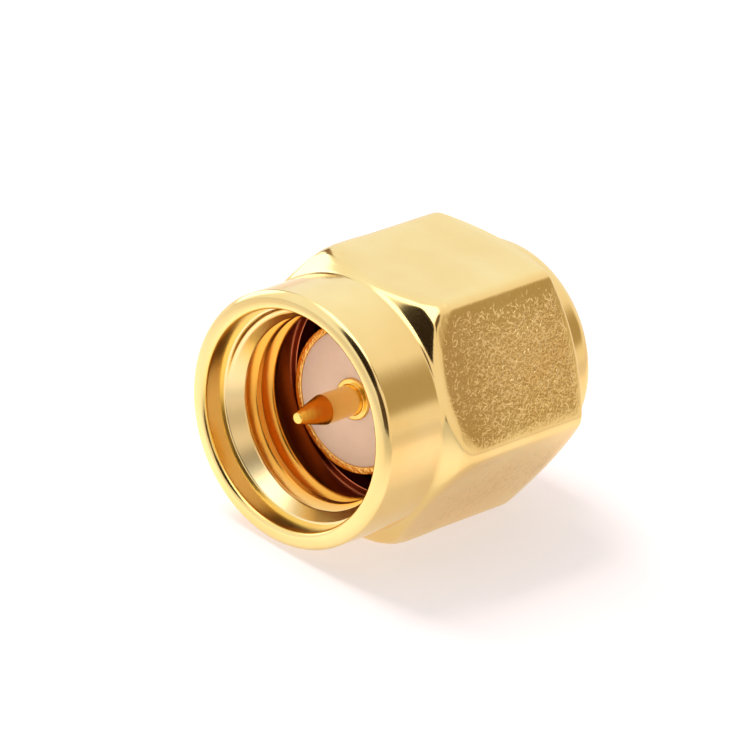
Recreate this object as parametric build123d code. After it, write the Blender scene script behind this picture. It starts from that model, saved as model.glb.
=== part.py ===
from build123d import *
import math
import os

# Straight screw-on coaxial plug for thin semi-rigid cable, lying on one flat of its hexagon.
# Millimetres, +Z up. The plug's axis runs along Y, its open mouth faces -Y.
# The origin is on the table, under the middle of the plug's length.
# Each piece is turned about a vertical axis first. There its heights are stations:
# distances behind the mouth's rim. place() then lays it down.

# Coupling nut, outside
NUT_LENGTH = 9.8
FLATS = 8.0
HEX_SIDES = 6
HEX_EDGE_ROUND = 0.35
COLLAR_RADIUS = 3.9
COLLAR_LENGTH = 2.4
RIM_ROUND = 0.32
CORNER_CHAMFER_RADIUS = 4.34
CORNER_CHAMFER_ANGLE = 30.0
REAR_CHAMFER_ANGLE = 33.0
BOSS_RADIUS = 3.45
BOSS_LENGTH = 1.03
BOSS_ROUND = 0.5

# Coupling nut, inside: a 1/4-36 right-hand thread behind a plain mouth
THREAD_MAJOR_RADIUS = 3.175
THREAD_DEPTH = 0.345
THREAD_PITCH = 25.4 / 36
THREAD_ROOT_FLAT = THREAD_PITCH / 8
THREAD_FLANK_ANGLE = 30.0
THREAD_START_ANGLE = 323.0
THREAD_END = 2.7
MOUTH_DEPTH = 0.8
MOUTH_CHAMFER = 0.06
RELIEF_STEP = 0.08
RELIEF_END = 3.88

# Connector body: outer conductor, flange, shank and cable ferrule
REFERENCE_PLANE = 2.85
DIELECTRIC_RADIUS = 2.065
OUTER_CONTACT_WALL = 0.23
OUTER_CONTACT_CHAMFER = 0.05
FLANGE_FACE = 5.2
FLANGE_THICKNESS = 0.7
FLANGE_RADIUS = 3.1
SHANK_RADIUS = 2.5
SHANK_RECESS = 0.2
SHANK_CHAMFER = 0.2
FERRULE_RADIUS = 1.8
FERRULE_PROUD = 1.2
FERRULE_CHAMFER = 0.15
CABLE_RADIUS = 1.12
CABLE_DEPTH = 2.6
CABLE_CORE_RADIUS = 0.85
CABLE_LEAD = 0.12

# Retaining ring: an open ring of square wire, half in a groove of the shank, half in one of the nut
RING_SETBACK = 1.0
RING_WIDTH = 0.5
RING_BITE = 0.3
RING_OPENING_ANGLE = 38.0

# Gasket, on a raised seat in front of the flange
GASKET_THICKNESS = 0.6
GASKET_SEAT_STEP = 0.205
GASKET_ROUND = 0.12

# Centre contact, held by its collar between two insulators
PIN_RADIUS = 0.46
PIN_TIP_STATION = 0.42
PIN_TIP_RADIUS = 0.16
PIN_TIP_ROUND = 0.06
PIN_TAPER_LENGTH = 1.08
CONTACT_RADIUS = 0.635
CONTACT_PROUD = 0.06
CONTACT_SHOULDER_CHAMFER = 0.05
CONTACT_COLLAR_RADIUS = 0.95
CONTACT_COLLAR_WIDTH = 0.6
SOLDER_CUP_RADIUS = 0.27
SOLDER_CUP_DEPTH = 1.5
SOLDER_HOLE_RADIUS = 0.2
FRONT_INSULATOR_LENGTH = 2.42
REAR_INSULATOR_LENGTH = 1.05
INSULATOR_RECESS = 0.03

# Clearances
MOUTH_CLEARANCE = 0.165
RELIEF_CLEARANCE = 0.125
NUT_RUNNING_GAP = 0.05
NUT_FLANGE_GAP = 0.08
NUT_SHOULDER_GAP = 0.05
RING_GROOVE_PLAY = 0.1
GASKET_SNUG = 0.01
CONTACT_CABLE_GAP = 0.3
CRESTS_OVERCUT = 0.06

# Worked out from the sizes above
AXIS_HEIGHT = FLATS / 2
THREAD_MINOR_RADIUS = THREAD_MAJOR_RADIUS - THREAD_DEPTH
MOUTH_RADIUS = THREAD_MAJOR_RADIUS + MOUTH_CLEARANCE
RELIEF_RADIUS = THREAD_MAJOR_RADIUS + RELIEF_CLEARANCE
OUTER_CONTACT_RADIUS = DIELECTRIC_RADIUS + OUTER_CONTACT_WALL
GASKET_SEAT_RADIUS = OUTER_CONTACT_RADIUS + GASKET_SEAT_STEP
FLANGE_BACK = FLANGE_FACE + FLANGE_THICKNESS
NUT_BORE_RADIUS = SHANK_RADIUS + NUT_RUNNING_GAP
RING_FRONT = FLANGE_BACK + RING_SETBACK - RING_WIDTH / 2
RING_BACK = RING_FRONT + RING_WIDTH
SHANK_END = NUT_LENGTH - SHANK_RECESS
FERRULE_END = NUT_LENGTH + FERRULE_PROUD
CABLE_STOP = FERRULE_END - CABLE_DEPTH
INSULATOR_FRONT = REFERENCE_PLANE + INSULATOR_RECESS
CONTACT_COLLAR_FRONT = INSULATOR_FRONT + FRONT_INSULATOR_LENGTH
CONTACT_COLLAR_BACK = CONTACT_COLLAR_FRONT + CONTACT_COLLAR_WIDTH
CONTACT_END = CABLE_STOP - CONTACT_CABLE_GAP
INSULATOR_BACK = CONTACT_COLLAR_FRONT + REAR_INSULATOR_LENGTH
MIDDLE = FERRULE_END / 2


def turned(*profile):
    """A solid turned about the plug's axis from (radius, station) corners."""
    return revolve(Plane.XZ * make_face(Polyline(*profile, close=True)), Axis.Z)


def disc(radius, start, end):
    """A plain round bar between two stations, also used as a drill."""
    return Pos(0, 0, start) * Cylinder(radius, end - start, align=(Align.CENTER, Align.CENTER, Align.MIN))


def ring(inner, outer, start, end):
    """A plain washer between two stations, also used to cut a groove."""
    return disc(outer, start, end) - disc(inner, start, end)


def circles_at(solid, station, radius):
    """The round edges of one radius at one station, ready to be rounded."""
    same = 1e-4
    return [
        edge
        for edge in solid.edges().filter_by(GeomType.CIRCLE)
        if abs(edge.center().Z - station) < same and abs(edge.radius - radius) < same
    ]


def place(solid):
    """Lay a piece down from the turning axis to where the plug rests on the table."""
    return Pos(0, -MIDDLE, AXIS_HEIGHT) * Rot(X=-90) * solid


def hexagon_blank():
    """Hexagon with softened long edges, chamfered on the lathe at both ends."""
    outline = RegularPolygon(AXIS_HEIGHT, HEX_SIDES, major_radius=False)
    outline = fillet(outline.vertices(), HEX_EDGE_ROUND)
    blank = Pos(0, 0, COLLAR_LENGTH) * extrude(outline, NUT_LENGTH - COLLAR_LENGTH)

    # Three cuts: a 45 degree cone up from the collar, a steeper one on the corners, and the rear
    clear = FLATS
    collar_chamfer = turned(
        (COLLAR_RADIUS, COLLAR_LENGTH),
        (clear, COLLAR_LENGTH + clear - COLLAR_RADIUS),
        (clear, COLLAR_LENGTH),
    )
    chamfers_meet = COLLAR_LENGTH + CORNER_CHAMFER_RADIUS - COLLAR_RADIUS
    corner_slope = 1 / math.tan(math.radians(CORNER_CHAMFER_ANGLE))
    corner_chamfer = turned(
        (CORNER_CHAMFER_RADIUS, chamfers_meet),
        (clear, chamfers_meet + (clear - CORNER_CHAMFER_RADIUS) * corner_slope),
        (clear, chamfers_meet),
    )
    boss_start = NUT_LENGTH - BOSS_LENGTH
    rear_slope = math.tan(math.radians(REAR_CHAMFER_ANGLE))
    rear_chamfer = turned(
        (BOSS_RADIUS, NUT_LENGTH),
        (BOSS_RADIUS, boss_start),
        (clear, boss_start - (clear - BOSS_RADIUS) * rear_slope),
        (clear, NUT_LENGTH),
    )
    return blank - collar_chamfer - corner_chamfer - rear_chamfer


def thread_cutter():
    """The V groove of the thread, right-handed, half a turn longer than its land at each end."""
    start = MOUTH_DEPTH - THREAD_PITCH / 2
    length = THREAD_END - MOUTH_DEPTH + THREAD_PITCH
    inner = THREAD_MINOR_RADIUS - CRESTS_OVERCUT
    half_root = THREAD_ROOT_FLAT / 2
    flank = (THREAD_MAJOR_RADIUS - inner) * math.tan(math.radians(THREAD_FLANK_ANGLE))
    groove = make_face(
        Polyline(
            (inner, -half_root - flank),
            (THREAD_MAJOR_RADIUS, -half_root),
            (THREAD_MAJOR_RADIUS, half_root),
            (inner, half_root + flank),
            close=True,
        )
    )
    path = Helix(THREAD_PITCH, length, THREAD_MINOR_RADIUS)
    cutter = sweep(Plane.XZ * groove, path=path, is_frenet=True)
    return Pos(0, 0, start) * Rot(Z=THREAD_START_ANGLE) * cutter


def coupling_nut():
    """Threaded nut: round collar with the mouth, hexagon, and a short round boss behind."""
    nut = disc(COLLAR_RADIUS, 0, COLLAR_LENGTH) + hexagon_blank()
    nut = fillet(circles_at(nut, 0, COLLAR_RADIUS), RIM_ROUND)
    nut = fillet(circles_at(nut, NUT_LENGTH, BOSS_RADIUS), BOSS_ROUND)

    # The thread is cut while both its ends still run out inside the wall
    nut -= disc(THREAD_MINOR_RADIUS, 0, RELIEF_END)
    nut -= thread_cutter()

    lead_end = MOUTH_DEPTH + MOUTH_RADIUS - THREAD_MINOR_RADIUS
    mouth = turned(
        (0, 0),
        (MOUTH_RADIUS + MOUTH_CHAMFER, 0),
        (MOUTH_RADIUS, MOUTH_CHAMFER),
        (MOUTH_RADIUS, MOUTH_DEPTH),
        (THREAD_MINOR_RADIUS, lead_end),
        (0, lead_end),
    )
    flange_bore = FLANGE_RADIUS + NUT_FLANGE_GAP
    shoulder = FLANGE_BACK + NUT_SHOULDER_GAP
    bore = turned(
        (0, THREAD_END),
        (THREAD_MINOR_RADIUS, THREAD_END),
        (RELIEF_RADIUS, THREAD_END + RELIEF_STEP),
        (RELIEF_RADIUS, RELIEF_END),
        (flange_bore, RELIEF_END),
        (flange_bore, shoulder),
        (NUT_BORE_RADIUS, shoulder),
        (NUT_BORE_RADIUS, NUT_LENGTH),
        (0, NUT_LENGTH),
    )
    ring_groove = disc(
        NUT_BORE_RADIUS + RING_BITE + RING_GROOVE_PLAY,
        RING_FRONT - RING_GROOVE_PLAY,
        RING_BACK + RING_GROOVE_PLAY,
    )
    return nut - mouth - bore - ring_groove


def connector_body():
    """Outer conductor tube, gasket seat, flange, grooved shank and cable ferrule, in one piece."""
    gasket_front = FLANGE_FACE - GASKET_THICKNESS
    body = turned(
        (0, REFERENCE_PLANE),
        (OUTER_CONTACT_RADIUS - OUTER_CONTACT_CHAMFER, REFERENCE_PLANE),
        (OUTER_CONTACT_RADIUS, REFERENCE_PLANE + OUTER_CONTACT_CHAMFER),
        (OUTER_CONTACT_RADIUS, gasket_front),
        (GASKET_SEAT_RADIUS, gasket_front),
        (GASKET_SEAT_RADIUS, FLANGE_FACE),
        (FLANGE_RADIUS, FLANGE_FACE),
        (FLANGE_RADIUS, FLANGE_BACK),
        (SHANK_RADIUS, FLANGE_BACK),
        (SHANK_RADIUS, SHANK_END - SHANK_CHAMFER),
        (SHANK_RADIUS - SHANK_CHAMFER, SHANK_END),
        (FERRULE_RADIUS, SHANK_END),
        (FERRULE_RADIUS, FERRULE_END - FERRULE_CHAMFER),
        (FERRULE_RADIUS - FERRULE_CHAMFER, FERRULE_END),
        (0, FERRULE_END),
    )
    ring_groove = ring(
        SHANK_RADIUS - RING_BITE - RING_GROOVE_PLAY,
        SHANK_RADIUS,
        RING_FRONT - RING_GROOVE_PLAY,
        RING_BACK + RING_GROOVE_PLAY,
    )
    dielectric_bore = disc(DIELECTRIC_RADIUS, REFERENCE_PLANE, INSULATOR_BACK)
    cable_bore = turned(
        (0, INSULATOR_BACK),
        (CABLE_CORE_RADIUS, INSULATOR_BACK),
        (CABLE_CORE_RADIUS, CABLE_STOP),
        (CABLE_RADIUS, CABLE_STOP),
        (CABLE_RADIUS, FERRULE_END - CABLE_LEAD),
        (CABLE_RADIUS + CABLE_LEAD, FERRULE_END),
        (0, FERRULE_END),
    )
    return body - ring_groove - dielectric_bore - cable_bore


def retaining_ring():
    """Square spring ring with one gap, which keeps the nut on the body and lets it turn."""
    outer = NUT_BORE_RADIUS + RING_BITE
    wire = ring(SHANK_RADIUS - RING_BITE, outer, RING_FRONT, RING_BACK)
    clear = 2 * outer
    half_gap = clear * math.tan(math.radians(RING_OPENING_ANGLE / 2))
    wedge = make_face(Polyline((0, 0), (half_gap, clear), (-half_gap, clear), close=True))
    return wire - Pos(0, 0, RING_FRONT) * extrude(wedge, RING_WIDTH)


def gasket():
    """Soft flat ring as wide as the flange that it lies against."""
    front = FLANGE_FACE - GASKET_THICKNESS
    seal = ring(GASKET_SEAT_RADIUS + GASKET_SNUG, FLANGE_RADIUS, front, FLANGE_FACE)
    return fillet(circles_at(seal, front, FLANGE_RADIUS), GASKET_ROUND)


def centre_contact():
    """Pin with a tapered nose, a shoulder proud of the insulator, a collar and a solder cup."""
    shoulder = REFERENCE_PLANE - CONTACT_PROUD
    contact = turned(
        (0, PIN_TIP_STATION),
        (PIN_TIP_RADIUS, PIN_TIP_STATION),
        (PIN_RADIUS, PIN_TIP_STATION + PIN_TAPER_LENGTH),
        (PIN_RADIUS, shoulder),
        (CONTACT_RADIUS - CONTACT_SHOULDER_CHAMFER, shoulder),
        (CONTACT_RADIUS, shoulder + CONTACT_SHOULDER_CHAMFER),
        (CONTACT_RADIUS, CONTACT_COLLAR_FRONT),
        (CONTACT_COLLAR_RADIUS, CONTACT_COLLAR_FRONT),
        (CONTACT_COLLAR_RADIUS, CONTACT_COLLAR_BACK),
        (CONTACT_RADIUS, CONTACT_COLLAR_BACK),
        (CONTACT_RADIUS, CONTACT_END),
        (0, CONTACT_END),
    )
    contact = fillet(circles_at(contact, PIN_TIP_STATION, PIN_TIP_RADIUS), PIN_TIP_ROUND)
    cup = disc(SOLDER_CUP_RADIUS, CONTACT_END - SOLDER_CUP_DEPTH, CONTACT_END)
    drill = Rot(X=-90) * disc(SOLDER_HOLE_RADIUS, 0, 2 * CONTACT_RADIUS)
    return contact - cup - Pos(0, 0, CONTACT_END - SOLDER_CUP_DEPTH / 2) * drill


def front_insulator():
    """White disc seen in the mouth, bored for the contact."""
    return ring(CONTACT_RADIUS, DIELECTRIC_RADIUS, INSULATOR_FRONT, CONTACT_COLLAR_FRONT)


def rear_insulator():
    """Second disc behind, counterbored to trap the contact's collar against the first."""
    bead = ring(CONTACT_RADIUS, DIELECTRIC_RADIUS, CONTACT_COLLAR_FRONT, INSULATOR_BACK)
    return bead - disc(CONTACT_COLLAR_RADIUS, CONTACT_COLLAR_FRONT, CONTACT_COLLAR_BACK)


PIECES = {
    "coupling_nut": coupling_nut,
    "connector_body": connector_body,
    "retaining_ring": retaining_ring,
    "gasket": gasket,
    "centre_contact": centre_contact,
    "front_insulator": front_insulator,
    "rear_insulator": rear_insulator,
}

os.makedirs("parts", exist_ok=True)
for name, make in PIECES.items():
    export_step(place(make()), f"parts/{name}.step")
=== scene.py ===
import math

import bmesh
import bpy
from mathutils import Matrix, Vector


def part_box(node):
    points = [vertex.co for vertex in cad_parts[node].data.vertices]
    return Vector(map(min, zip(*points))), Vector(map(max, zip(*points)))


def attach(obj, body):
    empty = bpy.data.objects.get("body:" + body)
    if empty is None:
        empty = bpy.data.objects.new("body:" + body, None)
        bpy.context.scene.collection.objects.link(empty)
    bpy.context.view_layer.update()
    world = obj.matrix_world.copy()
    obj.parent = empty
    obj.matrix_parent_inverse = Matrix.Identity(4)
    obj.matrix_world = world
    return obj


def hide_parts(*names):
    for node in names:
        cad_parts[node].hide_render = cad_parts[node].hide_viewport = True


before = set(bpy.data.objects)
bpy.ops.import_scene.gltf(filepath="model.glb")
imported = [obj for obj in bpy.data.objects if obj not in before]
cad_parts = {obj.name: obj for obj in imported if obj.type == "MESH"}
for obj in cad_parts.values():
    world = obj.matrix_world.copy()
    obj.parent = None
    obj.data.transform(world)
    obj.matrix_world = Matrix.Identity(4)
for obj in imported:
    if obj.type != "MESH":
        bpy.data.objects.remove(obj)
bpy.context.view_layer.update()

# Centre contact: one gold-plated pin, turned from bar, with a tapered nose, a shoulder that
# stands just proud of the white disc, a collar that the two insulators trap between them,
# and a drilled cup behind for the cable's inner wire, with a small solder hole in its side.
MM = 0.001
nut_low, nut_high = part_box("coupling_nut")
axis_height = (nut_low.z + nut_high.z) / 2
rim = nut_low.y

contact_low, contact_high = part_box("centre_contact")
insulator_low, insulator_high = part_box("front_insulator")
contact_tip = (contact_low.y - rim) / MM
contact_end = (contact_high.y - rim) / MM
collar_front = (insulator_high.y - rim) / MM
collar_radius = (contact_high.x - contact_low.x) / MM / 2
collar_width = 0.6
pin_radius = 0.46
pin_nose_radius = 0.16
pin_taper = 1.08
shoulder_radius = 0.635
shoulder_front = 2.79
cup_radius = 0.27
cup_depth = 1.5
solder_hole_radius = 0.2
drill_below_axis = 0.75 * shoulder_radius
contact_edge = 0.035
# Pin and body gold are redder than the nut's: painted light, for light bounced among the gold in the
# mouth
pin_gold = (1.0, 0.76, 0.2, 1)
bounce_red_gold = (1.0, 0.62, 0.19, 1)


def mark_sharp(shape, crease=35.0, where=lambda edge: True):
    """Smooth faces, with a sharp line wherever they turn by more than crease."""
    for face in shape.faces:
        face.smooth = True
    for edge in shape.edges:
        edge.smooth = edge.calc_face_angle(0) < math.radians(crease) or not where(edge)


def finish_mesh(shape, name):
    """Turn a bmesh into an object, with its faces looking outwards."""
    bmesh.ops.recalc_face_normals(shape, faces=shape.faces)
    mesh = bpy.data.meshes.new(name)
    shape.to_mesh(mesh)
    shape.free()
    piece = bpy.data.objects.new(name, mesh)
    bpy.context.scene.collection.objects.link(piece)
    return piece


def spun(corners, steps):
    """Spin an outline of (radius, station behind the rim) corners, in millimetres, about the axis."""
    shape = bmesh.new()
    points = [shape.verts.new((r * MM, rim + s * MM, axis_height)) for r, s in corners]
    ends = points[1:] if corners[0][0] == 0 else points[1:] + points[:1]
    for start, end in zip(points, ends):
        shape.edges.new((start, end))
    bmesh.ops.spin(
        shape, geom=shape.verts[:] + shape.edges[:], cent=(0, 0, axis_height), axis=(0, 1, 0),
        dvec=(0, 0, 0), angle=math.tau, steps=steps, space=Matrix(), use_merge=True,
    )
    bmesh.ops.remove_doubles(shape, verts=shape.verts, dist=1e-8)
    return shape


def soften(shape, width, segments=3, sharper_than=25.0):
    """Round the edges that turn by more than an angle, by a width in millimetres."""
    edges = [edge for edge in shape.edges if edge.calc_face_angle(0) > math.radians(sharper_than)]
    bmesh.ops.bevel(
        shape, geom=edges, offset=width * MM, offset_type="OFFSET", affect="EDGES",
        segments=segments, profile=0.5, material=-1, clamp_overlap=True,
    )


def node(tree, kind, inputs=None, **settings):
    """Add a shader node, with its settings, and values or other nodes' outputs on its inputs."""
    made = tree.nodes.new("ShaderNode" + kind)
    for name, value in settings.items():
        setattr(made, name, value)
    for socket, value in (inputs or {}).items():
        if isinstance(value, bpy.types.NodeSocket):
            tree.links.new(value, made.inputs[socket])
        else:
            made.inputs[socket].default_value = value
    return made


def math_node(tree, operation, first, second=0.0, third=0.0):
    """One step of arithmetic on values or sockets, as an output socket."""
    return node(tree, "Math", {0: first, 1: second, 2: third}, operation=operation).outputs[0]


def ramp(tree, value, start, end, low=0.0, high=1.0, kind="LINEAR"):
    """Map a value between a start and an end onto low to high, clamped, as an output socket."""
    return node(
        tree, "MapRange",
        {"Value": value, "From Min": start, "From Max": end, "To Min": low, "To Max": high},
        interpolation_type=kind,
    ).outputs[0]


def blend(tree, amount, first, second, how="MIX"):
    """Go from a first colour to a second one by an amount, as an output socket."""
    return node(
        tree, "Mix", {0: amount, 6: first, 7: second}, data_type="RGBA", blend_type=how,
    ).outputs[2]


def noise(tree, place, scale, detail):
    """Soft clouds between 0 and 1, as an output socket."""
    return node(tree, "TexNoise", {"Vector": place, "Scale": scale, "Detail": detail}).outputs["Fac"]


def bump(tree, height, distance, under=None):
    """Surface relief from a height, as deep as a distance in millimetres, over another relief."""
    inputs = {"Height": height, "Distance": distance * MM, "Strength": 1.0}
    if under is not None:
        inputs["Normal"] = under
    return node(tree, "Bump", inputs).outputs[0]


def from_axis(tree, split):
    """Distance from the plug's axis, out of a place that is split into its three parts."""
    across = node(tree, "CombineXYZ", {"X": split.outputs["X"], "Y": split.outputs["Z"]})
    return node(tree, "VectorMath", {0: across.outputs[0]}, operation="LENGTH").outputs["Value"]


def effect(name, inputs, outputs):
    """An empty node group with named inputs and outputs, for an effect that materials share."""
    tree = bpy.data.node_groups.new(name, "ShaderNodeTree")
    for label, kind in inputs:
        tree.interface.new_socket(label, in_out="INPUT", socket_type="NodeSocket" + kind)
    for label, kind in outputs:
        tree.interface.new_socket(label, in_out="OUTPUT", socket_type="NodeSocket" + kind)
    return tree, tree.nodes.new("NodeGroupInput"), tree.nodes.new("NodeGroupOutput")


def place_effect(tree, group, inputs):
    """Put a shared effect into a material with its own values, as an output socket."""
    return node(tree, "Group", inputs, node_tree=group).outputs[0]


def lathe_marks_effect():
    """Rings left by the turning tool: by radius on a face, and by station on a cylinder."""
    tree, given, result = effect(
        "lathe marks",
        [("Place", "Vector"), ("Spacing", "Float"), ("Waver", "Float")],
        [("Height", "Float")],
    )
    split = node(tree, "SeparateXYZ", {0: given.outputs["Place"]})
    turn = math_node(tree, "ARCTAN2", split.outputs["Z"], split.outputs["X"])
    turn = math_node(tree, "MULTIPLY", turn, given.outputs["Waver"])
    flat = node(tree, "CombineXYZ", {"X": from_axis(tree, split), "Y": split.outputs["Y"]})
    rate = math_node(tree, "DIVIDE", 1.0, given.outputs["Spacing"])
    scaled = node(tree, "VectorMath", {0: flat.outputs[0], "Scale": rate}, operation="SCALE")
    turned_by = node(tree, "CombineXYZ", {"Z": turn})
    rings = node(tree, "VectorMath", {0: scaled.outputs[0], 1: turned_by.outputs[0]}, operation="ADD")
    tree.links.new(noise(tree, rings.outputs[0], 1.0, 2.0), result.inputs["Height"])
    return tree


def tone_drift_effect():
    """Slow drift of a surface between a pale and a deep tone, in clouds of about one size."""
    tree, given, result = effect(
        "tone drift",
        [("Place", "Vector"), ("Size", "Float"), ("Pale", "Color"), ("Deep", "Color")],
        [("Tone", "Color")],
    )
    rate = math_node(tree, "DIVIDE", 1.0, given.outputs["Size"])
    amount = ramp(tree, noise(tree, given.outputs["Place"], rate, 3.0), 0.3, 0.7)
    tone = blend(tree, amount, given.outputs["Pale"], given.outputs["Deep"])
    tree.links.new(tone, result.inputs["Tone"])
    return tree


lathe_marks = lathe_marks_effect()
tone_drift = tone_drift_effect()


def new_material(name, plain_colour):
    """An empty material, its shader, and the place in millimetres from the axis and the rim."""
    material = bpy.data.materials.new(name)
    material.use_nodes = True
    material.diffuse_color = plain_colour
    tree = material.node_tree
    shader = tree.nodes["Principled BSDF"]
    coordinates = node(tree, "TexCoord")
    mapping = node(tree, "Mapping", {"Vector": coordinates.outputs["Object"]}, vector_type="POINT")
    mapping.inputs["Scale"].default_value = (1 / MM,) * 3
    mapping.inputs["Location"].default_value = (0, -rim / MM, -axis_height / MM)
    return material, tree, shader, mapping.outputs[0]


def turned_gold(name, pale, deep, roughness, spacing, depth, dent_depth=0.0, dents_end=None):
    """Gold plate over turned metal, with fine tool rings, and dents in front of one station."""
    material, tree, shader, place = new_material(name, pale)
    tone = place_effect(tree, tone_drift, {"Place": place, "Size": 1.6, "Pale": pale, "Deep": deep})
    rings = place_effect(tree, lathe_marks, {"Place": place, "Spacing": spacing, "Waver": 0.5})
    rough = ramp(tree, rings, 0.0, 1.0, roughness * 0.7, roughness * 1.3)
    relief = bump(tree, rings, depth)
    if dents_end is not None:
        station = node(tree, "SeparateXYZ", {0: place}).outputs["Y"]
        in_front = ramp(tree, station, dents_end + 0.1, dents_end)
        dents = math_node(tree, "MULTIPLY", noise(tree, place, 11.0, 2.0), in_front)
        relief = bump(tree, dents, dent_depth, relief)
    tree.links.new(tone, shader.inputs["Base Color"])
    tree.links.new(rough, shader.inputs["Roughness"])
    tree.links.new(relief, shader.inputs["Normal"])
    shader.inputs["Metallic"].default_value = 1.0
    return material


contact_gold = turned_gold("contact_gold", pin_gold, bounce_red_gold, roughness=0.2, spacing=0.06, depth=0.004)
contact_shape = spun(
    [
        (0, contact_tip),
        (pin_nose_radius, contact_tip),
        (pin_radius, contact_tip + pin_taper),
        (pin_radius, shoulder_front),
        (shoulder_radius, shoulder_front),
        (shoulder_radius, collar_front),
        (collar_radius, collar_front),
        (collar_radius, collar_front + collar_width),
        (shoulder_radius, collar_front + collar_width),
        (shoulder_radius, contact_end),
        (cup_radius, contact_end),
        (cup_radius, contact_end - cup_depth),
        (0, contact_end - cup_depth),
    ],
    steps=160,
)
soften(contact_shape, contact_edge, segments=4)
mark_sharp(contact_shape, crease=10)
contact = finish_mesh(contact_shape, "pin_contact")
contact.data.materials.append(contact_gold)

solder_drill_shape = bmesh.new()
bmesh.ops.create_cone(
    solder_drill_shape, cap_ends=True, segments=48, radius1=solder_hole_radius * MM,
    radius2=solder_hole_radius * MM, depth=shoulder_radius * MM,
)
bmesh.ops.translate(
    solder_drill_shape, verts=solder_drill_shape.verts,
    vec=(0, rim + (contact_end - cup_depth / 2) * MM, axis_height - drill_below_axis * MM),
)
mark_sharp(solder_drill_shape)
solder_drill = finish_mesh(solder_drill_shape, "solder_drill")
solder_drill.data.materials.append(contact_gold)
drilled = contact.modifiers.new("solder hole", "BOOLEAN")
drilled.object = solder_drill
drilled.operation = "DIFFERENCE"
drilled.solver = "EXACT"
with bpy.context.temp_override(object=contact, active_object=contact, selected_objects=[contact]):
    bpy.ops.object.modifier_apply(modifier=drilled.name)
bpy.data.objects.remove(solder_drill)
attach(contact, "connector")
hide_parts("centre_contact")


# Front insulator: a white disc, cut from rod and pressed round the contact. It is the pale
# ground that the pin stands on in the mouth, soft enough to show the knife's faint rings.
insulator_front = (insulator_low.y - rim) / MM
insulator_radius = (insulator_high.x - insulator_low.x) / MM / 2
insulator_edge = 0.025
# A warm tint on the white: painted light, standing for the glow of the gold round the disc
gold_lit_fluoropolymer = (0.93, 0.8, 0.7, 1)


def shade(colour, factor):
    """The same colour, lighter or darker by a factor."""
    return tuple(factor * part for part in colour[:3]) + (1,)


def white_rod(name, colour):
    """Matt white rod stock: a little light goes in, and the cut face has shallow rings."""
    material, tree, shader, place = new_material(name, colour)
    tone = place_effect(
        tree, tone_drift, {"Place": place, "Size": 0.9, "Pale": colour, "Deep": shade(colour, 0.94)},
    )
    rings = place_effect(tree, lathe_marks, {"Place": place, "Spacing": 0.08, "Waver": 0.3})
    tree.links.new(tone, shader.inputs["Base Color"])
    tree.links.new(bump(tree, rings, 0.006), shader.inputs["Normal"])
    shader.inputs["Roughness"].default_value = 0.45
    shader.inputs["Subsurface Weight"].default_value = 0.25
    shader.inputs["Subsurface Radius"].default_value = (1.0, 0.8, 0.6)
    shader.inputs["Subsurface Scale"].default_value = 0.4 * MM
    return material


white_insulator = white_rod("white_insulator", gold_lit_fluoropolymer)
disc_shape = spun(
    [
        (shoulder_radius, insulator_front),
        (insulator_radius, insulator_front),
        (insulator_radius, collar_front),
        (shoulder_radius, collar_front),
    ],
    steps=192,
)
soften(disc_shape, insulator_edge)
mark_sharp(disc_shape)
disc = finish_mesh(disc_shape, "insulator_disc")
disc.data.materials.append(white_insulator)
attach(disc, "connector")
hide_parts("front_insulator")


# Rear insulator: the second white disc, pushed in from behind after the contact, counterbored
# so that the contact's collar is trapped. It is out of sight once the cable is in.
bead_end = (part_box("rear_insulator")[1].y - rim) / MM
bead_edge = 0.02
bead_shape = spun(
    [
        (collar_radius, collar_front),
        (insulator_radius, collar_front),
        (insulator_radius, bead_end),
        (shoulder_radius, bead_end),
        (shoulder_radius, collar_front + collar_width),
        (collar_radius, collar_front + collar_width),
    ],
    steps=160,
)
soften(bead_shape, bead_edge)
mark_sharp(bead_shape)
bead = finish_mesh(bead_shape, "insulator_bead")
bead.data.materials.append(white_insulator)
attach(bead, "connector")
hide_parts("rear_insulator")


# Connector body: gold-plated brass, turned in one piece. The thin outer conductor in front, a
# seat and flange for the gasket, the grooved shank that the nut runs on, and the cable ferrule.
body_low, body_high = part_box("connector_body")
gasket_low, gasket_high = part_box("gasket")
ring_low, ring_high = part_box("retaining_ring")
conductor_front = (body_low.y - rim) / MM
ferrule_end = (body_high.y - rim) / MM
flange_radius = (body_high.x - body_low.x) / MM / 2
gasket_front = (gasket_low.y - rim) / MM
flange_face = (gasket_high.y - rim) / MM
flange_back = flange_face + 0.7
ring_front = (ring_low.y - rim) / MM
ring_back = (ring_high.y - rim) / MM
groove_play = 0.1
conductor_radius = 2.295
gasket_seat_radius = 2.5
shank_radius = 2.5
groove_radius = 2.1
shank_end = (nut_high.y - rim) / MM - 0.2
ferrule_radius = 1.8
cable_core_radius = 0.85
cable_radius = 1.12
cable_stop = ferrule_end - 2.6
cable_lead = 0.12
shank_chamfer = 0.2
ferrule_chamfer = 0.15
body_edge = 0.04
# Painted light: the body's gold is redder, for light bounced among the gold in the mouth
bounce_red_gold_deep = (0.94, 0.54, 0.14, 1)

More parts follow.
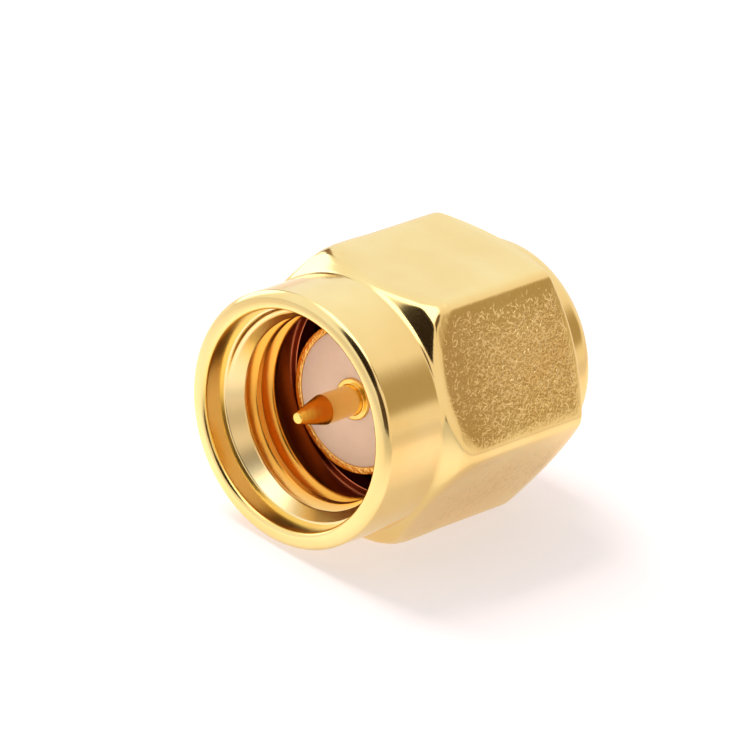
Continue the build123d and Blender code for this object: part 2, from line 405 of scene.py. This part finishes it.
body_gold = turned_gold(
    "body_gold", bounce_red_gold, bounce_red_gold_deep, roughness=0.22, spacing=0.08, depth=0.004,
    dent_depth=0.03, dents_end=conductor_front + 0.3,
)
body_shape = spun(
    [
        (insulator_radius, conductor_front),
        (conductor_radius, conductor_front),
        (conductor_radius, gasket_front),
        (gasket_seat_radius, gasket_front),
        (gasket_seat_radius, flange_face),
        (flange_radius, flange_face),
        (flange_radius, flange_back),
        (shank_radius, flange_back),
        (shank_radius, ring_front - groove_play),
        (groove_radius, ring_front - groove_play),
        (groove_radius, ring_back + groove_play),
        (shank_radius, ring_back + groove_play),
        (shank_radius, shank_end - shank_chamfer),
        (shank_radius - shank_chamfer, shank_end),
        (ferrule_radius, shank_end),
        (ferrule_radius, ferrule_end - ferrule_chamfer),
        (ferrule_radius - ferrule_chamfer, ferrule_end),
        (cable_radius + cable_lead, ferrule_end),
        (cable_radius, ferrule_end - cable_lead),
        (cable_radius, cable_stop),
        (cable_core_radius, cable_stop),
        (cable_core_radius, bead_end),
        (insulator_radius, bead_end),
    ],
    steps=256,
)
soften(body_shape, body_edge)
mark_sharp(body_shape)
body = finish_mesh(body_shape, "turned_body")
body.data.materials.append(body_gold)
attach(body, "connector")
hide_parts("connector_body")


# Gasket: a soft dark red ring slid over the outer conductor onto its seat, against the flange.
# It is moulded, so its front edge is round and its skin is smooth and slightly dusty.
gasket_radius = (gasket_high.x - gasket_low.x) / MM / 2
gasket_hole = gasket_seat_radius + 0.01
gasket_edge = 0.1
rubber_red = (0.12, 0.022, 0.013, 1)


def moulded_rubber(name, colour):
    """Smooth moulded rubber, with a faint bloom."""
    material, tree, shader, place = new_material(name, colour)
    tone = place_effect(
        tree, tone_drift, {"Place": place, "Size": 0.5, "Pale": shade(colour, 1.3), "Deep": colour},
    )
    skin = noise(tree, place, 14.0, 3.0)
    tree.links.new(tone, shader.inputs["Base Color"])
    tree.links.new(ramp(tree, skin, 0.0, 1.0, 0.35, 0.6), shader.inputs["Roughness"])
    tree.links.new(bump(tree, skin, 0.01), shader.inputs["Normal"])
    return material


gasket_rubber = moulded_rubber("gasket_rubber", rubber_red)
seal_shape = spun(
    [
        (gasket_hole, gasket_front),
        (gasket_radius, gasket_front),
        (gasket_radius, flange_face),
        (gasket_hole, flange_face),
    ],
    steps=192,
)
soften(seal_shape, gasket_edge, segments=5)
mark_sharp(seal_shape)
seal = finish_mesh(seal_shape, "seal_ring")
seal.data.materials.append(gasket_rubber)
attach(seal, "connector")
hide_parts("gasket")


# Retaining ring: square spring wire bent round with one gap, sprung into the shank's groove
# before the nut is pushed over it. The nut hides it, so the solid stays and gets its finish.
bronze = (0.62, 0.36, 0.16, 1)
bronze_dark = (0.42, 0.22, 0.09, 1)
spring_bronze = turned_gold(
    "spring_bronze", bronze, bronze_dark, roughness=0.35, spacing=0.09, depth=0.006,
)
wire_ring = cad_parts["retaining_ring"]
wire_ring.data.materials.clear()
wire_ring.data.materials.append(spring_bronze)


# Coupling nut: gold-plated brass, turned from hexagon bar and tapped. Collar, rim and boss are
# bright from the lathe, the six flats keep a dull grain but for their rubbed margins, and the
# turns of the thread show in the mouth. The flats also carry a painted shade, set for each flat
# and least on the top one, and the bore is painted darker and redder deeper in, with a painted
# highlight on the edge of its last step.
flats_radius = (nut_high.z - nut_low.z) / MM / 2
nut_length = (nut_high.y - nut_low.y) / MM
hex_edge_round = 0.42
tumbled_edge = 0.1
tumbled_rear_edge = 0.14
front_dome = 0.035
side_dome = 0.02
# For each flat in turn round the axis: how much grain it has, and how much painted shade darkens it
flat_grain_and_shade = (1.0, 0.15, 0.7, 0.9, 0.8, 0.5)
flat_margin = 0.5
grain_margin = 0.08
grain_size = 0.11
grain_depth = 0.05
rubbed_end = 3.3
grain_start = 5.8
nut_collar_radius = 3.9
nut_collar_length = 2.4
collar_fillet = 0.25
mouth_round = 0.18
corner_chamfer_radius = 4.34
corner_chamfer_angle = math.radians(28)
rear_chamfer_angle = math.radians(33)
rear_margin_slope = 1.5
boss_radius = 3.45
boss_length = 1.03
boss_round = 0.5
thread_major = 3.175
thread_minor = 2.83
thread_pitch = 25.4 / 36
thread_root_flat = thread_pitch / 8
thread_flank = math.radians(30)
thread_end = 2.7
groove_at_right = 1.225
root_round = 0.07
crest_round = 0.06
runout_round = 0.04
mouth_radius = thread_major + 0.165
mouth_depth = 0.8
mouth_step = 0.1
lead_length = 0.59
first_turn_end = 1.65
relief_radius = thread_major + 0.125
relief_start = thread_end + 0.08
relief_end = 3.88
flange_bore = flange_radius + 0.08
flange_shoulder = flange_back + 0.05
nut_bore = shank_radius + 0.05
nut_groove = 2.95
bore_round = 0.08
bore_colours_end = flange_shoulder + 0.5
tone_fade = 0.1
lead_fade = 0.04
# A painted highlight on the recess step's inner edge: its width, and its reach along the axis
edge_line_width = 0.03
edge_line_depth = 0.01
gold_pale = (0.99, 0.79, 0.37, 1)
gold_deep = (0.95, 0.71, 0.29, 1)
mouth_gold = (1.0, 0.75, 0.22, 1)
lead_gold = (1.0, 0.8, 0.42, 1)
# Painted shade in the bore: redder through the turns, dark in the recess
turns_shaded_gold = (1.0, 0.49, 0.08, 1)
recess_shaded_gold = (0.85, 0.32, 0.14, 1)
recess_painted_shadow = (0.16, 0.04, 0.02, 1)
painted_edge_highlight = (1.0, 0.72, 0.6, 1)
# Painted shade on the flats' colour
flat_painted_shade = (0.84, 0.77, 0.71, 1)


def soft_min(a, b, width):
    """The smaller of two lengths, blended over a width where they are close."""
    near = max(width - abs(a - b), 0) / width
    return min(a, b) - near * near * width / 4


def hexagon_radius(angle):
    """Distance from the axis to the hexagon's side, or to its rounded edge, in one direction."""
    from_flat = angle % (math.pi / 3) - math.pi / 6
    from_edge = math.pi / 6 - abs(from_flat)
    round_centre = (flats_radius - hex_edge_round) / math.cos(math.pi / 6)
    flat_half_width = (flats_radius - hex_edge_round) * math.tan(math.pi / 6)
    if math.tan(abs(from_flat)) * flats_radius < flat_half_width:
        return flats_radius / math.cos(from_flat)
    sideways = round_centre * math.sin(from_edge)
    return round_centre * math.cos(from_edge) + math.sqrt(hex_edge_round ** 2 - sideways ** 2)


def thread_radius(station, angle):
    """Distance from the axis to the thread's surface: crest, flank or groove."""
    turns = (station - groove_at_right) / thread_pitch + angle / math.tau
    from_groove = abs(turns - round(turns)) * thread_pitch
    flank = thread_major - (from_groove - thread_root_flat / 2) / math.tan(thread_flank)
    inside = soft_min(flank, thread_major, root_round)
    return -soft_min(-inside, -thread_minor, crest_round)


def smooth_step(value, width):
    """0 to 1 over a width, with soft ends."""
    t = min(max(value / width, 0), 1)
    return t * t * (3 - 2 * t)


def arc(middle, size, start, end, count):
    """Outline corners on part of a circle about a (radius, station) middle, by degrees."""
    turns = [math.radians(start + (end - start) * step / count) for step in range(count + 1)]
    return [(middle[0] + size * math.cos(t), middle[1] + size * math.sin(t), 0) for t in turns]


clear_radius = flats_radius + 0.75
chamfers_meet = nut_collar_length + corner_chamfer_radius - nut_collar_radius
corner_end = chamfers_meet + (clear_radius - corner_chamfer_radius) / math.tan(corner_chamfer_angle)
boss_start = nut_length - boss_length
rear_start = boss_start - (clear_radius - boss_radius) * math.tan(rear_chamfer_angle)
lead_end = mouth_depth + lead_length
collar_side_start = 0.24
collar_rings_start = 0.3
cone_rings_start = 0.1
front_rings = 0.6
rear_rings = 0.3
# The rim's rounded edge: how far in from the collar's side each corner lies, and its station
rim_outline = [
    (0.38, 0), (0.3, 0.006), (0.22, 0.022), (0.16, 0.042), (0.11, 0.075), (0.03, 0.155), (0, 0.21),
]
fillet_start = nut_collar_length - collar_fillet * math.tan(math.radians(22.5))
# Corners of the turned blank with its bore, each with the number of rings up to the next one
nut_outline = [
    *[(nut_collar_radius - inwards, station, 1) for inwards, station in rim_outline],
    (nut_collar_radius, collar_side_start, 0),
    (nut_collar_radius, collar_rings_start, 2),
    (nut_collar_radius, fillet_start - 0.05, 0),
    *arc((nut_collar_radius + collar_fillet, fillet_start), collar_fillet, 180, 135, 6),
    (nut_collar_radius + cone_rings_start, nut_collar_length + cone_rings_start, 7),
    (corner_chamfer_radius, chamfers_meet, 17),
    (clear_radius, corner_end, 9),
    (clear_radius, corner_end + front_rings, 3),
    (clear_radius, rear_start - rear_rings, 3),
    (clear_radius, rear_start, 20),
    (boss_radius, boss_start, 1),
    *arc((boss_radius - boss_round, nut_length - boss_round), boss_round, 0, 90, 8),
    *arc((nut_bore + bore_round, nut_length - bore_round), bore_round, 90, 180, 3),
    (nut_bore, ring_back + groove_play, 0),
    (nut_groove, ring_back + groove_play, 0),
    (nut_groove, ring_front - groove_play, 0),
    (nut_bore, ring_front - groove_play, 0),
    (nut_bore, flange_shoulder, 0),
    (flange_bore, flange_shoulder, 1),
    (flange_bore, relief_end, 0),
    (relief_radius, relief_end, 1),
    (relief_radius, relief_start, 3),
    (thread_minor, thread_end, 58),
    (thread_minor, lead_end, 20),
    (mouth_radius - mouth_step, mouth_depth, 1),
    (mouth_radius, mouth_depth, 1),
    *arc((mouth_radius + mouth_round, mouth_round), mouth_round, 180, 270, 6),
]
outline = []
for (r0, s0, rings), (r1, s1, _) in zip(nut_outline, nut_outline[1:] + nut_outline[:1]):
    for step in range(rings + 1):
        part = step / (rings + 1)
        outline.append((r0 + (r1 - r0) * part, s0 + (s1 - s0) * part))
nut_shape = spun(outline, steps=464)


def plainly_turned(edge):
    """Picks the edges that neither the hexagon nor the thread will move."""
    middle = (edge.verts[0].co + edge.verts[1].co) / 2
    station = (middle.y - rim) / MM
    radius = math.hypot(middle.x, middle.z - axis_height) / MM
    on_hexagon = radius > boss_radius + 0.1 and nut_collar_length < station < boss_start - 0.01
    in_bore = radius < mouth_radius - mouth_step / 2
    on_thread = in_bore and mouth_depth - 0.01 < station < thread_end + 0.05
    return not on_hexagon and not on_thread


mark_sharp(nut_shape, where=plainly_turned)
milled = nut_shape.verts.layers.float.new("milled")
for vert in nut_shape.verts:
    across = Vector((vert.co.x, vert.co.z - axis_height)) / MM
    radius = across.length
    station = (vert.co.y - rim) / MM
    angle = math.atan2(across.y, across.x)
    if radius > boss_radius and nut_collar_length < station < boss_start:
        side = hexagon_radius(angle)
        from_flat = angle % (math.pi / 3) - math.pi / 6
        from_edge = flats_radius * (math.tan(math.pi / 6) - math.tan(abs(from_flat)))
        in_front = station < nut_length / 2
        inwards = (radius - side) / (math.tan(corner_chamfer_angle) if in_front else rear_margin_slope)
        side -= front_dome * (1 - smooth_step(inwards, flat_margin))
        side -= side_dome * (1 - smooth_step(from_edge, flat_margin))
        new_radius = soft_min(radius, side, tumbled_edge if in_front else tumbled_rear_edge)
        # This flat's share of grain, and of painted shade on its colour
        grain_and_shade = flat_grain_and_shade[int(angle % math.tau / (math.pi / 3))]
        vert[milled] = grain_and_shade * smooth_step(min(inwards, from_edge) - grain_margin, flat_margin)
    elif radius < mouth_radius - mouth_step / 2 and mouth_depth - 1e-4 < station < thread_end + 0.1:
        new_radius = -soft_min(-radius, -thread_radius(station, angle), runout_round)
    else:
        new_radius = radius
    vert.co.x = across.x / radius * new_radius * MM
    vert.co.z = axis_height + across.y / radius * new_radius * MM


def plated_grain_effect():
    """The dull grain of barrel-tumbled plate: small lumps and short raised flecks, about zero."""
    tree, given, result = effect(
        "plated grain",
        [("Place", "Vector"), ("Size", "Float")],
        [("Height", "Float")],
    )
    place = given.outputs["Place"]
    rate = math_node(tree, "DIVIDE", 1.0, given.outputs["Size"])
    lumps = noise(tree, place, rate, 2.0)
    clouds = noise(tree, place, math_node(tree, "MULTIPLY", rate, 0.3), 1.0)
    folds = noise(tree, place, math_node(tree, "MULTIPLY", rate, 0.55), 0.0)
    off_fold = math_node(tree, "ABSOLUTE", math_node(tree, "SUBTRACT", folds, 0.5))
    flecks = ramp(tree, off_fold, 0.0, 0.09, 0.4, 0.0, kind="SMOOTHSTEP")
    breaks = noise(tree, place, math_node(tree, "MULTIPLY", rate, 0.63), 0.0)
    flecks = math_node(tree, "MULTIPLY", flecks, ramp(tree, breaks, 0.5, 0.6))
    total = math_node(tree, "MULTIPLY_ADD", lumps, 0.7, flecks)
    total = math_node(tree, "MULTIPLY_ADD", clouds, 0.6, total)
    about_zero = math_node(tree, "SUBTRACT", total, 0.7)
    tree.links.new(about_zero, result.inputs["Height"])
    return tree


plated_grain = plated_grain_effect()


def bore_colour(tree, radius, station):
    """The gold inside the nut, by depth: mouth and lead cone, then painted shade making the turns
    redder and the recess dark, and a painted highlight on the recess step's edge.
    """
    lead = ramp(tree, station, mouth_depth - lead_fade, mouth_depth)
    colour = blend(tree, lead, mouth_gold, lead_gold)
    # Painted shade: redder through the turns, then darker in the recess and darkest past its step
    colour = blend(tree, ramp(tree, station, lead_end - tone_fade, first_turn_end), colour, turns_shaded_gold)
    colour = blend(tree, ramp(tree, station, thread_end, thread_end + tone_fade), colour, recess_shaded_gold)
    past_step = math_node(tree, "GREATER_THAN", station, relief_end - edge_line_depth)
    colour = blend(tree, past_step, colour, recess_painted_shadow)
    # Painted highlight: a thin pale line along the step's inner edge
    on_step = math_node(tree, "COMPARE", station, relief_end, edge_line_depth)
    on_edge = math_node(tree, "LESS_THAN", radius, flange_bore + edge_line_width)
    return blend(tree, math_node(tree, "MULTIPLY", on_step, on_edge), colour, painted_edge_highlight)


def tumbled_gold(name, pale, deep):
    """Gold plate over a turned and milled nut: rings where it was turned, grain on the flats, painted
    shade on the flats and in the bore, and a painted highlight there.
    """
    material, tree, shader, place = new_material(name, pale)
    flat = node(tree, "Attribute", attribute_name="milled", attribute_type="GEOMETRY").outputs["Fac"]
    tone = place_effect(tree, tone_drift, {"Place": place, "Size": 2.2, "Pale": pale, "Deep": deep})
    rings = place_effect(tree, lathe_marks, {"Place": place, "Spacing": 0.09, "Waver": 0.6})
    grain = place_effect(tree, plated_grain, {"Place": place, "Size": grain_size})
    split = node(tree, "SeparateXYZ", {0: place})
    radius = from_axis(tree, split)
    station = split.outputs["Y"]
    in_bore = ramp(tree, radius, mouth_radius + tone_fade, mouth_radius)
    in_front = math_node(tree, "LESS_THAN", station, bore_colours_end)
    inside = math_node(tree, "MULTIPLY", in_bore, in_front)
    outside = math_node(tree, "SUBTRACT", 1.0, inside)
    plate = blend(tree, inside, tone, bore_colour(tree, radius, station))
    # Painted shade: each flat's colour darkened and warmed by its share
    plate = blend(tree, flat, plate, flat_painted_shade, how="MULTIPLY")
    rough = math_node(tree, "MULTIPLY_ADD", inside, 0.08, ramp(tree, flat, 0.0, 1.0, 0.15, 0.19))
    relief = bump(tree, math_node(tree, "MULTIPLY", rings, outside), 0.0025)
    unrubbed = ramp(tree, station, rubbed_end, grain_start, 0.2, 1.0)
    dull = math_node(tree, "MULTIPLY", flat, unrubbed)
    relief = bump(tree, math_node(tree, "MULTIPLY", grain, dull), grain_depth, relief)
    tree.links.new(plate, shader.inputs["Base Color"])
    tree.links.new(rough, shader.inputs["Roughness"])
    tree.links.new(relief, shader.inputs["Normal"])
    shader.inputs["Metallic"].default_value = 1.0
    return material


nut_gold = tumbled_gold("nut_gold", gold_pale, gold_deep)
nut = finish_mesh(nut_shape, "hexagon_nut")
nut.data.materials.append(nut_gold)
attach(nut, "nut")
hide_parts("coupling_nut")


# Table: plain white card, wide enough to reach past every view. It is white to the eye and
# keeps the plug's soft shadow. In the gold it carries painted light: brightest close to the plug,
# dimmer further off and warmer behind it.
card_half = 1.5
card_lift = 0.53
plain_white = (1, 1, 1, 1)
table_tint = (0.68, 0.59, 0.595, 1)
table_front = (0.77, 0.79, 0.75)
table_behind = (0.91, 0.85, 0.77)
# Painted light seen in the gold: the card brighter near the plug, dimmer further off
close_by, far_off = 0.006, 0.03
close_level, far_level = 1.33, 0.82
horizon_start, horizon_end = 0.05, 0.2
horizon_level = 0.35
in_front_until, behind_from = -0.007, 0.0
card_shape = bmesh.new()
bmesh.ops.create_grid(card_shape, x_segments=1, y_segments=1, size=card_half)
mark_sharp(card_shape)
card = finish_mesh(card_shape, "table_card")


def scaled_colour(tree, colour, level):
    """A colour times a level that may pass 1, as an output socket."""
    return node(tree, "VectorMath", {0: colour, "Scale": level}, operation="SCALE").outputs[0]


def white_card(name):
    """Matt white that is lifted a little for the eye and for reflections, but lights nothing."""
    material = bpy.data.materials.new(name)
    material.use_nodes = True
    tree = material.node_tree
    shader = tree.nodes["Principled BSDF"]
    shader.inputs["Roughness"].default_value = 1.0
    shader.inputs["Specular IOR Level"].default_value = 0.0
    place = node(tree, "TexCoord").outputs["Object"]
    away = node(tree, "VectorMath", {0: place}, operation="LENGTH").outputs["Value"]
    level = ramp(tree, away, close_by, far_off, close_level, far_level)
    horizon = ramp(tree, away, horizon_start, horizon_end, 0.0, horizon_level)
    front_level = math_node(tree, "ADD", level, horizon)
    rear_level = math_node(tree, "ADD", math_node(tree, "MINIMUM", level, 1.0), horizon)
    station = node(tree, "SeparateXYZ", {0: place}).outputs["Y"]
    reflected = blend(
        tree, ramp(tree, station, in_front_until, behind_from),
        scaled_colour(tree, table_front, front_level), scaled_colour(tree, table_behind, rear_level),
    )
    path = node(tree, "LightPath")
    straight = math_node(tree, "MAXIMUM", path.outputs["Is Camera Ray"], path.outputs["Is Diffuse Ray"])
    white = blend(tree, straight, reflected, plain_white)
    seen = math_node(tree, "MAXIMUM", path.outputs["Is Camera Ray"], path.outputs["Is Glossy Ray"])
    seen = math_node(tree, "MAXIMUM", seen, path.outputs["Is Transmission Ray"])
    lift = math_node(tree, "MULTIPLY", seen, card_lift)
    base = blend(tree, 1.0, white, table_tint, how="MULTIPLY")
    tree.links.new(base, shader.inputs["Base Color"])
    tree.links.new(white, shader.inputs["Emission Color"])
    tree.links.new(lift, shader.inputs["Emission Strength"])
    return material


card.data.materials.append(white_card("table_white"))


# Light tent: white cloth all round, warmer to the right and brightest overhead, with a dim corner,
# darker seams and the dark opening above the camera. A softbox and a spot into the mouth light
# only what is matt, so the gold shows nothing but the tent and the table.
tent_cool = (0.98, 0.99, 1.0, 1)
tent_warm = (0.93, 0.8, 0.68, 1)
tent_top = (2.1, 2.1, 2.15, 1)
corner_dim = (0.45, 0.335, 0.19, 1)
seam_brown = (0.3, 0.19, 0.1, 1)
seam_dark = (0.13, 0.075, 0.035, 1)
opening_dark = (0.02, 0.011, 0.006, 1)
lens_dark = (0.08, 0.05, 0.03, 1)
side_dark = (0.22, 0.13, 0.07, 1)
side_bright = (2.0, 2.1, 2.4, 1)
tent_diffuse = 0.41
cool_side, warm_side = -0.55, 0.6
table_line, tent_line = 0.11, 0.22


def light_tent():
    """World shader: the tent's colour in each direction, and plain white to the eye."""
    world = bpy.data.worlds.new("light_tent")
    world.use_nodes = True
    tree = world.node_tree
    background = tree.nodes["Background"]
    direction = node(tree, "TexCoord").outputs["Generated"]
    split = node(tree, "SeparateXYZ", {0: direction})
    across = ramp(tree, split.outputs["X"], cool_side, warm_side, kind="SMOOTHSTEP")
    colour = blend(tree, across, tent_cool, tent_warm)
    above_table = ramp(tree, split.outputs["Z"], table_line, tent_line, kind="SMOOTHSTEP")
    # Each patch of the cloth: where it lies, the degrees over which it fades out, and its colour
    for towards, inner, outer, patch_colour, mask in (
        ((0.0, 0.0, 1.0), 20, 37, tent_top, None),
        ((0.58, 0.76, 0.29), 8, 23, corner_dim, above_table),
        ((0.25, -0.7, 0.67), 21, 25, opening_dark, None),
        ((0.68, -0.7, 0.2), 16, 21, lens_dark, None),
        ((-0.84, 0.46, 0.28), 6, 12, side_dark, None),
        ((-0.745, 0.465, 0.48), 4, 8, seam_brown, None),
        ((0.64, 0.24, 0.73), 10, 14, seam_dark, None),
        ((-0.96, 0.05, 0.25), 14, 20, side_bright, None),
    ):
        centre = Vector(towards).normalized()
        near = node(tree, "VectorMath", {0: direction, 1: centre}, operation="DOT_PRODUCT")
        edges = math.cos(math.radians(outer)), math.cos(math.radians(inner))
        patch = ramp(tree, near.outputs["Value"], *edges, kind="SMOOTHSTEP")
        if mask is not None:
            patch = math_node(tree, "MULTIPLY", patch, mask)
        colour = blend(tree, patch, colour, patch_colour)
    path = node(tree, "LightPath")
    white = blend(tree, path.outputs["Is Camera Ray"], colour, plain_white)
    level = ramp(tree, path.outputs["Is Diffuse Ray"], 0.0, 1.0, 1.0, tent_diffuse)
    tree.links.new(white, background.inputs["Color"])
    tree.links.new(level, background.inputs["Strength"])
    bpy.context.scene.world = world


def hang_lamp(name, kind, place, aim_at, energy, colour, size):
    """A lamp for matt surfaces, unseen in the gold: size is a softbox's side or a spot's angle."""
    lamp_data = bpy.data.lights.new(name, kind)
    lamp_data.energy = energy
    lamp_data.color = colour
    if kind == "AREA":
        lamp_data.shape = "SQUARE"
        lamp_data.size = size
    else:
        lamp_data.spot_size = size
        lamp_data.spot_blend = 0.3
        lamp_data.shadow_soft_size = 0.002
    lamp = bpy.data.objects.new(name, lamp_data)
    lamp.location = place
    lamp.rotation_euler = (Vector(place) - Vector(aim_at)).to_track_quat("Z", "Y").to_euler()
    lamp.visible_glossy = False
    bpy.context.scene.collection.objects.link(lamp)


light_tent()
hang_lamp(
    "softbox", "AREA", place=(-0.055, -0.005, 0.085), aim_at=(0, 0, axis_height),
    energy=0.095, colour=(1, 0.97, 0.955), size=0.06,
)
hang_lamp(
    "mouth_spot", "SPOT", place=(0.012, -0.09, 0.012), aim_at=(0, rim, axis_height),
    energy=0.125, colour=(1, 0.76, 0.6), size=math.radians(4.2),
)


# Camera: a long lens at the front right of the mouth, above the plug and tipped a little to one
# side, with the frame moved so that the plug stands where the photograph has it.
camera_azimuth = math.radians(37.858)
camera_elevation = math.radians(26.203)
camera_roll = math.radians(10.471)
camera_distance = 0.215084
focal_pixels = 7278.9
frame_pixels = 750
aim = Vector((0, -0.0005, 0.004))
aside = 0.000783
above = -0.000210
back = Vector((
    math.sin(camera_azimuth) * math.cos(camera_elevation),
    -math.cos(camera_azimuth) * math.cos(camera_elevation),
    math.sin(camera_elevation),
))
level = Vector((math.cos(camera_azimuth), math.sin(camera_azimuth), 0))
upright = back.cross(level)
right = math.cos(camera_roll) * level + math.sin(camera_roll) * upright
up = math.cos(camera_roll) * upright - math.sin(camera_roll) * level
camera_data = bpy.data.cameras.new("camera")
camera_data.sensor_width = 36.0
camera_data.lens = focal_pixels / frame_pixels * camera_data.sensor_width
camera_data.clip_start = 0.01
camera_data.clip_end = 10.0
camera = bpy.data.objects.new("camera", camera_data)
camera.matrix_world = (
    Matrix.Translation(aim + back * camera_distance - right * aside - up * above)
    @ Matrix((right, up, back)).transposed().to_4x4()
)
bpy.context.scene.collection.objects.link(camera)
bpy.context.scene.camera = camera
bpy.context.scene.view_settings.view_transform = "Standard"
